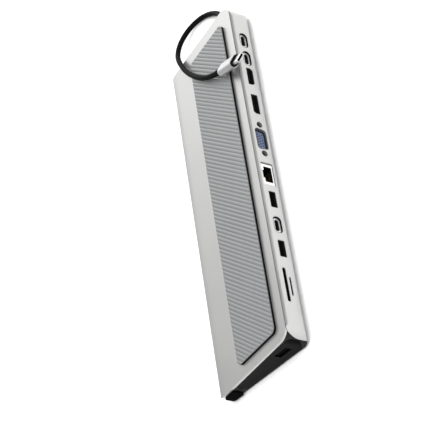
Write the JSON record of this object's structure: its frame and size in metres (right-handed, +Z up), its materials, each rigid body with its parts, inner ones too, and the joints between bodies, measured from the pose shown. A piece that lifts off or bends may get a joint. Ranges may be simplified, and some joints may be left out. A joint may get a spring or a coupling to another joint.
{
  "type": "laptop docking station",
  "caption": "Flat wedge-shaped laptop dock with a ribbed rest pad, a row of sockets along its thick long side and a captive USB-C lead.",
  "frame": {"origin": "middle of the housing's footprint, on the surface that its rubber feet stand on", "axes": "+X along the housing to the end with the USB socket, +Y towards the thick side with the row of sockets, +Z up"},
  "size_m": [0.3244, 0.1152, 0.0358],
  "materials": {
    "silver_shell": "fine satin anodised",
    "ribbed_pad": "matt, ribbed",
    "pad_base": "matt",
    "end_cap": "satin",
    "end_panel": "glossy",
    "bumper": "matt",
    "feet": "matt",
    "bottom": "satin",
    "screws": "polished",
    "connector_metal": "plated",
    "socket_metal": "dull, tin plated",
    "bezel": "polished edge",
    "black_insulator": "matt",
    "blue_insulator": "matt",
    "contacts": "gold plated",
    "board": "solder mask",
    "chip": "matt",
    "thermal_pad": "soft",
    "heat_spreader": "plain",
    "lead": "satin",
    "plug_body": "satin anodised"
  },
  "bodies": {
    "root": {"top_shell": "silver_shell", "rear_shell": "silver_shell", "bottom_cover": "bottom", "near_end_cap": "end_cap", "far_end_cap": "end_cap", "near_panel": "end_panel", "far_panel": "end_panel", "near_bumper": "bumper", "far_bumper": "bumper", "pad_base": "pad_base", "ribbed_pad": "ribbed_pad", "feet": "feet", "cover_screws": "screws", "board_screws": "screws", "main_board": "board", "end_board": "board", "link_ribbon": "black_insulator", "hdmi_shell": "socket_metal", "hdmi_tongue": "black_insulator", "display_shell": "socket_metal", "display_tongue": "black_insulator", "vga_shell": "socket_metal", "vga_insulator": "blue_insulator", "vga_nuts": "socket_metal", "lan_shield": "connector_metal", "lan_housing": "black_insulator", "lan_contacts": "contacts", "end_usb_shell": "connector_metal", "end_usb_tongue": "black_insulator", "card_reader": "black_insulator", "micro_card_reader": "black_insulator", "hub_chip": "chip", "video_chip": "chip", "power_coil": "chip", "lan_transformer": "chip", "thermal_pad": "thermal_pad", "heat_spreader": "heat_spreader", "cable_gland": "lead", "lead": "lead", "plug_relief": "lead", "plug_body": "plug_body", "plug_collar": "black_insulator", "plug_shell": "connector_metal", "plug_liner": "black_insulator", "usb_c_gaskets": "black_insulator", "usb_c_bezel_far": "bezel", "usb_c_shell_far": "socket_metal", "usb_c_tongue_far": "black_insulator", "usb_c_bezel_mid": "bezel", "usb_c_shell_mid": "socket_metal", "usb_c_tongue_mid": "black_insulator", "usb_c_bezel_near": "bezel", "usb_c_shell_near": "socket_metal", "usb_c_tongue_near": "black_insulator", "usb_a_shell_mid": "socket_metal", "usb_a_tongue_mid": "black_insulator", "usb_a_shell_near": "socket_metal", "usb_a_tongue_near": "black_insulator"}
  },
  "joints": []
}
